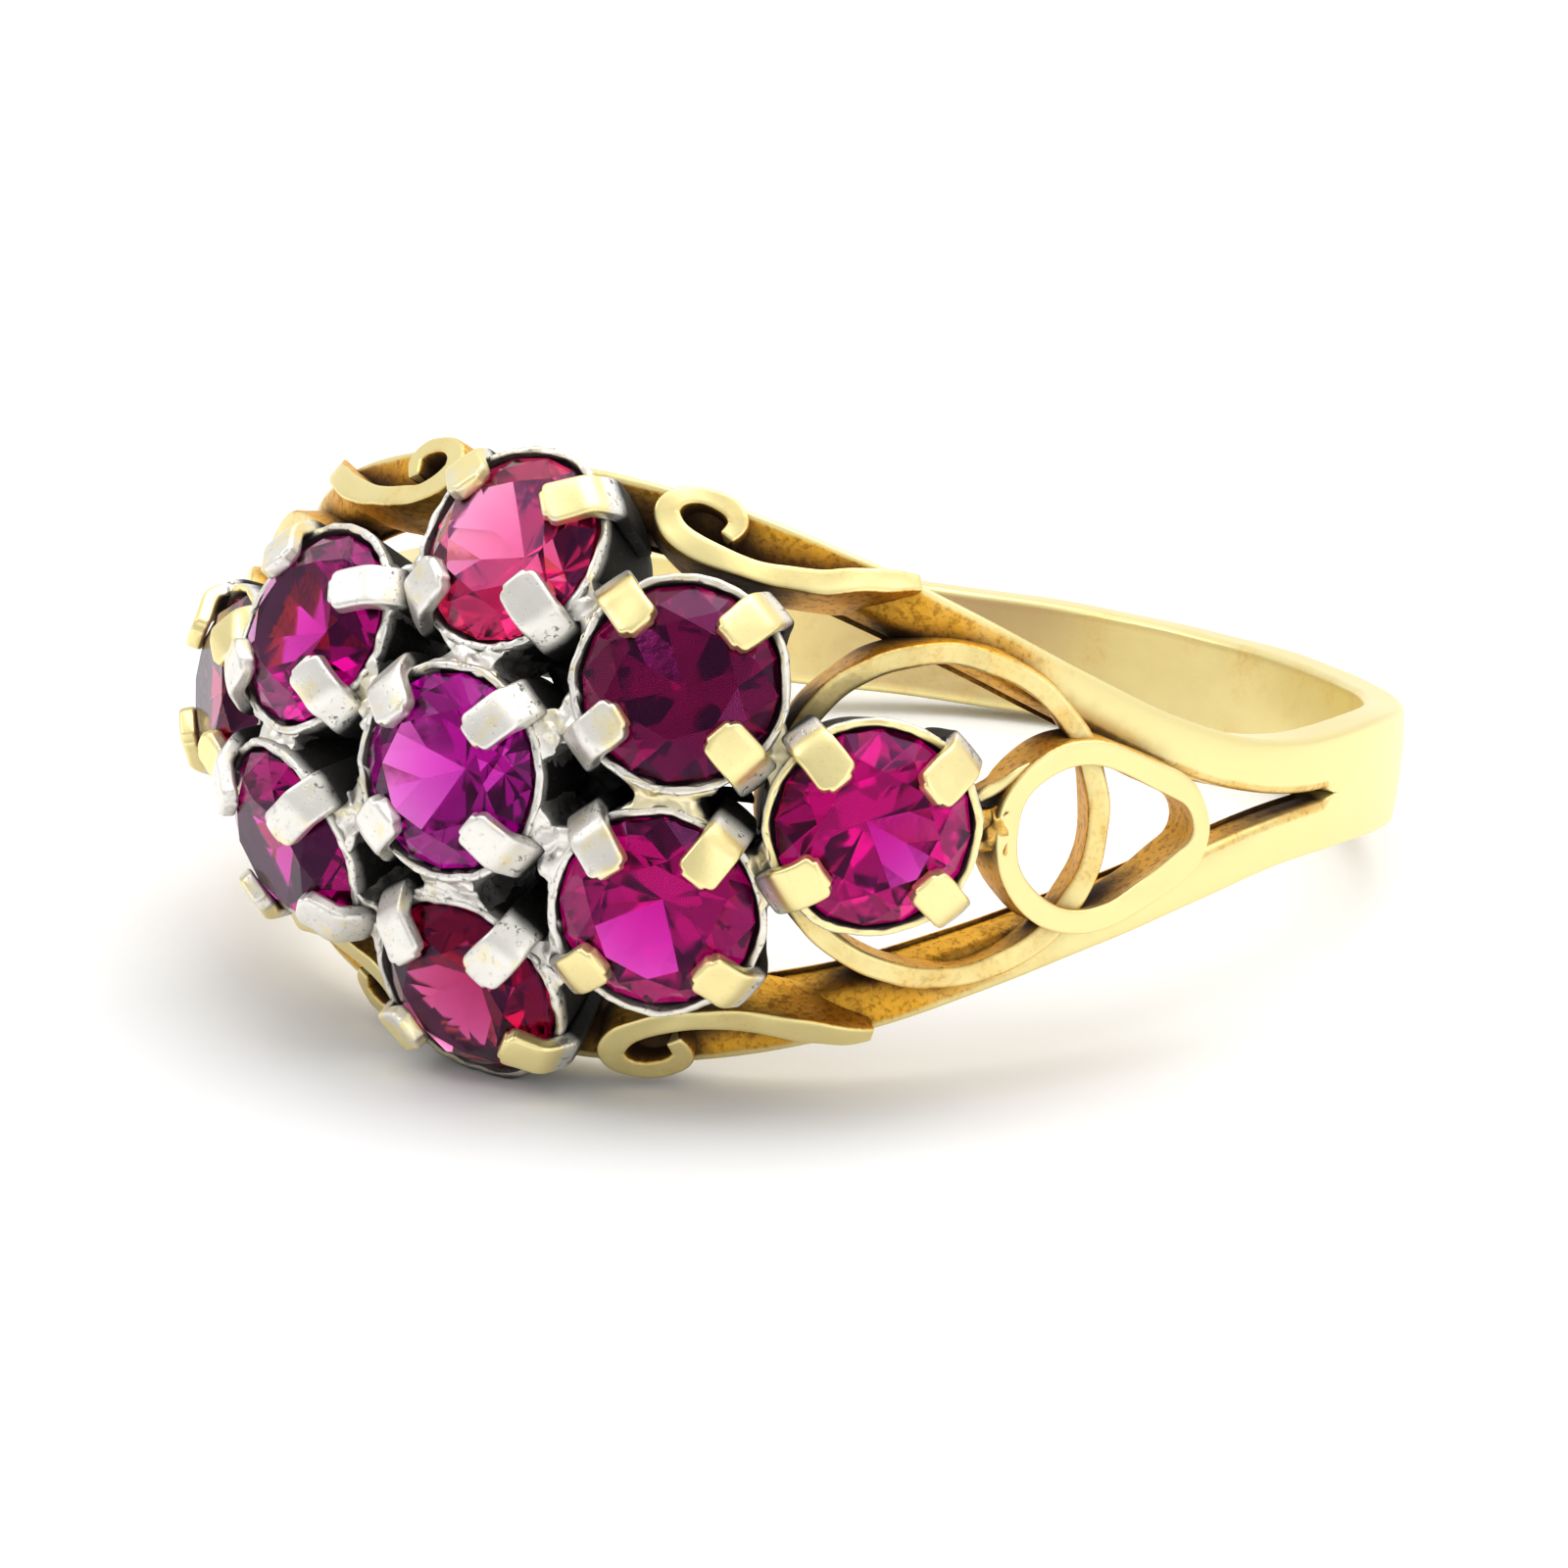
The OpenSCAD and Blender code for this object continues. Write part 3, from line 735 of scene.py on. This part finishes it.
def on_seat(name, local):
    """Points given as (down, right, out) of a seat, in ring coordinates."""
    centre, down, right, straight_out = seat_axes(name)
    return centre + local @ np.stack([down, right, straight_out])


# %% [markdown]
# ## Cups
# A cup, or collet, is a short cone of thin sheet, closed by a soldered seam and filed level at
# the rim. The rim has been filed by hand and flooded with solder, so it is uneven. A lathe
# outline turned round the cup's axis gives the cone, and two ripples roughen its rim.

# %% Turn the cups
def cup_shell(name, seed):
    """A cup: the outline of its wall turned round, with its rim lifted and dented by ripples of
    two sizes. The end cups' rims are rubbed brightest."""
    s = cup_size
    slope = stone_size["below"] / stone_size["r"]
    bearing_r = s["foot_r"] - s["t"]
    bearing_top = -stone_size["girdle_t"] / 2 - stone_size["gap"]
    bearing_z = bearing_top - (s["seat_r"] - bearing_r) * slope
    outline = smooth_corners([
        (s["seat_r"], s["rim_h"]), (rim_r - 0.03, s["rim_h"]), (rim_r, s["rim_h"] - 0.06),
        (s["foot_r"], -s["h"]), (bearing_r, -s["h"]), (bearing_r, bearing_z), (s["seat_r"], bearing_top),
    ])
    turn = np.linspace(0, 2 * np.pi, 176, endpoint=False)[:, None]
    r, z = outline[None, :, 0], outline[None, :, 1]
    local = np.stack([r * np.cos(turn), r * np.sin(turn), z + 0 * turn], -1)
    near_rim = np.clip(1 + (local[..., 2] - s["rim_h"]) / 0.3, 0, 1)
    flat = local.reshape(-1, 3)
    rough = near_rim.reshape(-1, 1)
    aside = [0.02 * ripple(flat, 1.1, n) + 0.007 * ripple(flat, 0.3, n + 1) for n in (seed, seed + 2)]
    lift = 0.022 * ripple(flat, 1.0, seed + 4) + 0.01 * ripple(flat, 0.3, seed + 5) - 0.02
    flat = flat + rough * np.stack([*aside, lift], 1)
    grid = on_seat(name, flat).reshape(local.shape)
    brightest = 0.98 if name.endswith("end") else 0.82
    return shell(grid, 0.05 + (brightest - 0.05) * near_rim ** 2, closed=True)


def smooth_corners(corners, cut=0.03, longest=0.25):
    """A closed outline with each corner cut twice, and points added so that no side is much over
    the longest allowed."""
    corners = np.asarray(corners, float)
    before = unit(np.roll(corners, 1, 0) - corners)
    after = unit(np.roll(corners, -1, 0) - corners)
    in_corner = corners + 0.3 * cut * (before + after)
    cut_outline = np.stack([corners + cut * before, in_corner, corners + cut * after], 1).reshape(-1, 2)
    ends = np.roll(cut_outline, -1, 0)
    rows = []
    for a, b in zip(cut_outline, ends):
        pieces = max(1, int(np.linalg.norm(b - a) / longest))
        rows.append(a + (b - a) * (np.arange(pieces) / pieces)[:, None])
    return np.concatenate(rows)


for number, name in enumerate(SEATS):
    part = filed_flush(cup_shell(name, 100 + 6 * number))
    make_piece(f"cup_{name}", part, white_gold)

# %% [markdown]
# ## Claws
# A claw is a short flat strip soldered to the outside of the cup and pushed over the edge of
# the stone with a steel tool, which leaves two flats with a soft fold between them. The path
# runs up the leg, over the shoulder and down onto the crown. Every claw was pushed by hand,
# so each has its own direction, and a little of its own width and reach.

# %% Bend the claws
# Directions of the claws of each seat, in degrees from straight down towards the right
CLAW_TURNS = {
    "centre": (52, 136, 223, 316),
    "top": (50, 128, 229, 317),
    "bottom": (60, 137, 215, 304),
    "right_top": (46, 136, 222, 310),
    "right_bottom": (53, 144, 221, 313),
    "left_top": (52, 122, 225, 315),
    "left_bottom": (50, 128, 225, 315),
    "right_end": (48, 134, 222, 308),
    "left_end": (45, 135, 225, 315),
}
claw_size = {"w": 0.73, "t": 0.28, "edge": 0.07, "crown": 0.012, "corner_r": 0.13}


def folded_path(corners, fold, steps):
    """A line through the corners with each inner corner rounded: from fold mm before it to fold mm
    after it the path is a parabola. Each straight has its own step in mm."""
    corners = np.asarray(corners, float)
    ahead = unit(np.diff(corners, axis=0))
    t = np.linspace(0, 1, 5)[:, None]
    bends = [(1 - t) ** 2 * (c - fold * a) + 2 * t * (1 - t) * c + t ** 2 * (c + fold * b)
             for c, a, b in zip(corners[1:-1], ahead[:-1], ahead[1:])]
    stops = [corners[:1], *bends, corners[-1:]]
    rows = []
    for here, there, step in zip(stops[:-1], stops[1:], steps):
        gap = there[0] - here[-1]
        pieces = max(1, round(float(np.linalg.norm(gap)) / step))
        rows += [here, here[-1] + gap * (np.arange(1, pieces) / pieces)[:, None]]
    return np.concatenate(rows + [stops[-1]])


def claw_shell(name, turn, seed):
    """One claw: its path in the plane through the stone's middle, swept with its width round the
    stone. The corners of its tip are rounded in plan by drawing the width in near the end."""
    rng = np.random.default_rng(seed)
    reach = rng.uniform(-0.05, 0.05)
    fold = rng.uniform(-0.03, 0.03)
    w = claw_size["w"] * rng.uniform(0.94, 1.05)
    # The leg's foot, the shoulder, the fold and the tip: away from the stone's middle, and out of it
    corners = [(1.62, -1.35), (1.93, -0.1), (1.69 + fold, 0.38), (1.07 + reach, 0.64 - 0.4 * reach)]
    rows = folded_path(corners, 0.12, (0.15, 0.08, 0.03))
    down_by, right_by = math.cos(math.radians(turn)), math.sin(math.radians(turn))
    path = np.stack([rows[:, 0] * down_by, rows[:, 0] * right_by, rows[:, 1]], 1)
    from_tip = np.linalg.norm(path - path[-1], axis=1)
    corner_r = claw_size["corner_r"]
    inside_corner = np.clip(corner_r - from_tip, 0, corner_r)
    drawn_in = corner_r - np.sqrt(np.maximum(0, corner_r ** 2 - inside_corner ** 2))
    width = w - 2 * np.where(from_tip < corner_r, drawn_in, 0)
    run = unit(np.gradient(path, axis=0))
    sideways = np.array([-right_by, down_by, 0.0])
    away = np.cross(run, sideways)
    away *= np.sign((away * [down_by, right_by, 0.3]).sum(1, keepdims=True))
    part = sweep(path, away, width, claw_size["t"], claw_size["edge"], crown=claw_size["crown"])
    part["points"] = on_seat(name, part["points"])
    height = (part["points"] - seat_axes(name)[0]) @ seat_axes(name)[3]
    part["worn"] = np.clip((height + 0.2) / 0.5, 0, 1)
    return part


for number, name in enumerate(SEATS):
    claws = [claw_shell(name, turn, 300 + 10 * number + n) for n, turn in enumerate(CLAW_TURNS[name])]
    part = filed_flush(wandering(joined(claws), 0.9, 0.011, 500 + number))
    make_piece(f"claws_{name}", part, white_gold)

# %% [markdown]
# ## Solder between the cups
# Where two cups come close, solder has run between them and drawn itself into a web with
# hollow sides, level with the rims. The web spans between two arcs, one on each cup: a
# point on it is a share of the way from one arc to the other, and the arcs' reach shrinks
# halfway across, which gives the hollow sides. Lower down, dark plates close most of the way
# through the head, so that the gaps look black: they stand for old solder and dirt, and partly
# for painted shade in the gaps. Plain plates are enough for that.

# %% Draw the webs
# The two cups, and how wide the web is where it leaves them, in degrees either way
WEBS = [
    ("centre", "top", 34), ("centre", "bottom", 34), ("centre", "right_top", 20),
    ("centre", "right_bottom", 26), ("centre", "left_top", 22), ("centre", "left_bottom", 22),
    ("top", "right_top", 20), ("top", "left_top", 22), ("bottom", "right_bottom", 24),
    ("bottom", "left_bottom", 22), ("right_top", "right_bottom", 34), ("left_top", "left_bottom", 30),
    ("right_top", "right_end", 24), ("right_bottom", "right_end", 24),
    ("left_top", "left_end", 22), ("left_bottom", "left_end", 22),
]


def web_shell(first, second, spread, seed):
    """A web of solder: rows run from the first cup's wall to the second's, and each row's outline
    is a tall rectangle with round edges, its top level with the rims and sagging halfway."""
    steps = np.linspace(0, 1, 18)
    corner, arc = rounded_outline(9, 3)
    edge = 0.12
    place = corner[:, 0] * (1 - edge) + arc[:, 0] * edge
    depth, taper = 1.5, 0.17
    z = corner[:, 1] * (depth / 2 - 0.08) + arc[:, 1] * 0.08
    pinch = 1 - 0.5 * np.sin(np.pi * steps) ** 0.8
    arcs = []
    for here, there, sign in ((first, second, 1), (second, first, -1)):
        centre, down, right, _ = seat_axes(here)
        towards = seat_axes(there)[0] - centre
        facing = math.atan2(towards @ right, towards @ down)
        turn = facing + sign * math.radians(spread) * pinch[:, None] * place[None]
        low = cup_size["rim_h"] - 0.03 - depth / 2 + z[None] + 0 * turn
        r = cup_size["seat_r"] + 0.05 + taper * low
        local = np.stack([r * np.cos(turn), r * np.sin(turn), low], -1)
        arcs.append(on_seat(here, local))
    s = steps[:, None, None]
    grid = arcs[0] * (1 - s) + arcs[1] * s
    out = unit(seat_axes(first)[3] + seat_axes(second)[3])
    sag = 0.1
    grid = grid - sag * np.sin(np.pi * s) * out
    part = shell(grid, np.where(arc[:, 1] > 0.5, 0.9, 0.25)[None], closed=False)
    return wandering(part, 0.3, 0.03, seed)


def solder_and_shade_plate(first, second, seed):
    """A dark plate low between two cups, from wall to wall: old solder and dirt, and partly a sheet of
    painted shade in the gap.
    """
    low = 1.3
    a, b = [seat_axes(name)[0] - low * seat_axes(name)[3] for name in (first, second)]
    wall = cup_size["foot_r"] + 0.06
    run = unit(b - a)
    path = a + wall * run + np.linspace(0, 1, 12)[:, None] * (b - a - 2 * wall * run)
    out = unit(seat_axes(first)[3] + seat_axes(second)[3])
    plate = sweep(path, out, 2.5, 0.3, 0.08, flat=15)
    return wandering({**plate, "worn": 0 * plate["worn"]}, 0.5, 0.04, seed)


webs = [web_shell(a, b, spread, 700 + 4 * n) for n, (a, b, spread) in enumerate(WEBS)]
# Dark plates in the gaps between cups: old solder and dirt, and partly a sheet that stands for the shade
# seen through the head.
SOLDER_AND_SHADE_PLATES = [("right_top", "right_bottom"), ("left_top", "left_bottom")]
SOLDER_AND_SHADE_PLATES += [("centre", name) for name in ("right_top", "right_bottom", "left_top", "left_bottom")]
webs += [solder_and_shade_plate(a, b, 800 + 4 * n) for n, (a, b) in enumerate(SOLDER_AND_SHADE_PLATES)]
make_piece("solder_webs", joined(webs), white_gold)

# %% [markdown]
# ## Bars at the shoulders
# Between each end cup and its teardrop sits a lump of solder and, above it, a scrap of thin
# strip. They are swept like the rest, the lump with a wandering width.

# %% Sweep the bars
def bar_shells():
    """The lump and the thin strip on the right shoulder."""
    round_ring, up, out = plane_axes(44.4)
    s = np.linspace(-0.85, 0.42, 40)[:, None]
    middle = 10.08 * out - 0.12 * UP
    lump_path = middle + s * round_ring + 0.05 * np.sin(3 * s) * UP
    width = 0.66 + 0.6 * np.abs(s[:, 0]) ** 1.5
    lump = wandering(sweep(lump_path, out, width, 0.6, 0.13, flat=9), 0.28, 0.045, 900)
    lump["worn"] = 0.5 * lump["worn"]
    round_ring, up, out = plane_axes(47.2)
    slant = math.radians(34)
    direction = math.cos(slant) * round_ring + math.sin(slant) * UP
    s = np.linspace(-0.68, 0.68, 16)[:, None]
    thin = sweep(9.95 * out + 0.8 * UP + s * direction, out, 0.18, 0.62, 0.05)
    return joined([lump, wandering(thin, 0.6, 0.015, 910)])


bars = bar_shells()
make_piece("bars_right", bars, gold)
make_piece("bars_left", mirrored(bars, 0), gold)

# %% The modelled metal stands for the plain metal
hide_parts("setting")

# %% [markdown]
# ## Rubies
# A ruby bends light strongly, index 1.77, and swallows green and blue on the way through.
# The stones keep the facets of the fixed model. Each was cut from its own piece of rough,
# so each has its own depth of colour.

# %% Colour the stones
# How much of red, green and blue is left after one millimetre of each stone
RUBIES = {
    "centre": (0.76, 0.2, 0.7),
    "top": (0.87, 0.36, 0.56),
    "bottom": (0.66, 0.15, 0.36),
    "right_top": (0.6, 0.06, 0.42),
    "right_bottom": (0.77, 0.08, 0.58),
    "left_top": (0.76, 0.12, 0.62),
    "left_bottom": (0.78, 0.12, 0.62),
    "right_end": (0.79, 0.08, 0.59),
    "left_end": (0.7, 0.1, 0.36),
}


def ruby_material(name, left_per_mm):
    """A ruby: clear, of high index, and darker with depth. A volume takes off its density times
    one less its colour, which is the logarithm of what a millimetre leaves."""
    material, tree, shader = new_material(f"cut ruby, {name.replace('_', ' ')}")
    taken = -np.log(np.array(left_per_mm)) / MM
    density = float(taken.max() * 1.02)
    inside = {"Color": (*(1 - taken / density), 1), "Density": density}
    absorb = add_node(tree, "ShaderNodeVolumeAbsorption", None, inside)
    tree.links.new(absorb, tree.nodes["Material Output"].inputs["Volume"])
    silk = grains(tree, add_node(tree, "ShaderNodeTexCoord", out="Object"), 0.4, 3)
    set_inputs(tree, shader, {
        "Base Color": linear("#FFE4F0"), "IOR": 1.77, "Transmission Weight": 1.0,
        "Specular Tint": (0.42, 0.1, 0.36, 1), "Normal": bumps(tree, silk, 0.0015),
        "Roughness": between(tree, silk, 0.35, 0.75, 0.03, 0.14),
    })
    return material


for name, left_per_mm in RUBIES.items():
    stone = frame["nodes"][f"stone_{name}"]
    stone.data.materials.clear()
    stone.data.materials.append(ruby_material(name, left_per_mm))

# %% [markdown]
# ## Floor, light and camera
# The ring lies on a pale sheet under soft boxes, and is seen from a little above with a long
# lens, so that it looks close and flat, as in a catalogue.

# %% Floor
floor_mesh = bpy.data.meshes.new("floor")
corners = [(-1.5, -1.5, 0), (1.5, -1.5, 0), (1.5, 1.5, 0), (-1.5, 1.5, 0)]
floor_mesh.from_pydata(corners, [], [(0, 1, 2, 3)])
floor = bpy.data.objects.new("floor", floor_mesh)
bpy.context.collection.objects.link(floor)
paper, tree, shader = new_material("matt white paper")
set_inputs(tree, shader, {"Base Color": linear("#F4F4F4"), "Roughness": 0.9})
floor_mesh.materials.append(paper)

# %% Light
def white_room():
    """A white world, brightest behind the ring and dimmer behind the camera: the brightness follows
    the cosine of the angle between a direction and the bright side."""
    world = bpy.data.worlds.new("white room")
    bpy.context.scene.world = world
    world.use_nodes = True
    tree = world.node_tree
    direction = add_node(tree, "ShaderNodeTexCoord", out="Generated")
    bright_side = tuple(Vector((0.25, 0.85, 0.5)).normalized())
    how = {"operation": "DOT_PRODUCT"}
    facing = add_node(tree, "ShaderNodeVectorMath", how, {0: direction, 1: bright_side}, "Value")
    level = between(tree, facing, -0.75, 0.5, 0.62, 1.0)
    set_inputs(tree, tree.nodes["Background"], {"Color": (1, 1, 1, 1), "Strength": level})


def soft_box(name, position_mm, size_mm, brightness):
    """A square area light that faces the ring. Its power is its brightness times pi times its area."""
    light = bpy.data.lights.new(name, "AREA")
    light.size = size_mm * MM
    light.energy = brightness * math.pi * (size_mm * MM) ** 2
    lamp = bpy.data.objects.new(name, light)
    lamp.location = Vector(position_mm) * MM
    lamp.rotation_euler = (Vector((0, 0, 5)) - Vector(position_mm)).to_track_quat("-Z", "Y").to_euler()
    bpy.context.collection.objects.link(lamp)


white_room()
soft_box("overhead", (30, 60, 260), 260, 1.9)
soft_box("left", (-190, -130, 190), 110, 3.0)
soft_box("right", (230, -120, 70), 90, 1.5)
bpy.context.scene.view_settings.view_transform = "Standard"

# %% Camera
view_from = {"azimuth": 33.53, "elevation": 19.85, "roll": -0.86, "distance": 219.4, "lens": 298.24}
aim = Vector((-0.717, 0.753, 1.836))


def place_camera():
    """A camera on a sphere round its aim: azimuth 0 looks along +Y, elevation looks down."""
    a, e = math.radians(view_from["azimuth"]), math.radians(view_from["elevation"])
    back = Vector((math.sin(a) * math.cos(e), -math.cos(a) * math.cos(e), math.sin(e)))
    level = Vector((math.cos(a), math.sin(a), 0))
    upright = back.cross(level)
    roll = math.radians(view_from["roll"])
    right = level * math.cos(roll) + upright * math.sin(roll)
    above = upright * math.cos(roll) - level * math.sin(roll)
    data = bpy.data.cameras.new("camera")
    data.lens = view_from["lens"]
    data.sensor_width = 36
    data.clip_start = 0.01
    camera = bpy.data.objects.new("camera", data)
    turn = Matrix((right, above, back)).transposed().to_4x4()
    camera.matrix_world = Matrix.Translation((aim + back * view_from["distance"]) * MM) @ turn
    bpy.context.collection.objects.link(camera)
    bpy.context.scene.camera = camera


place_camera()
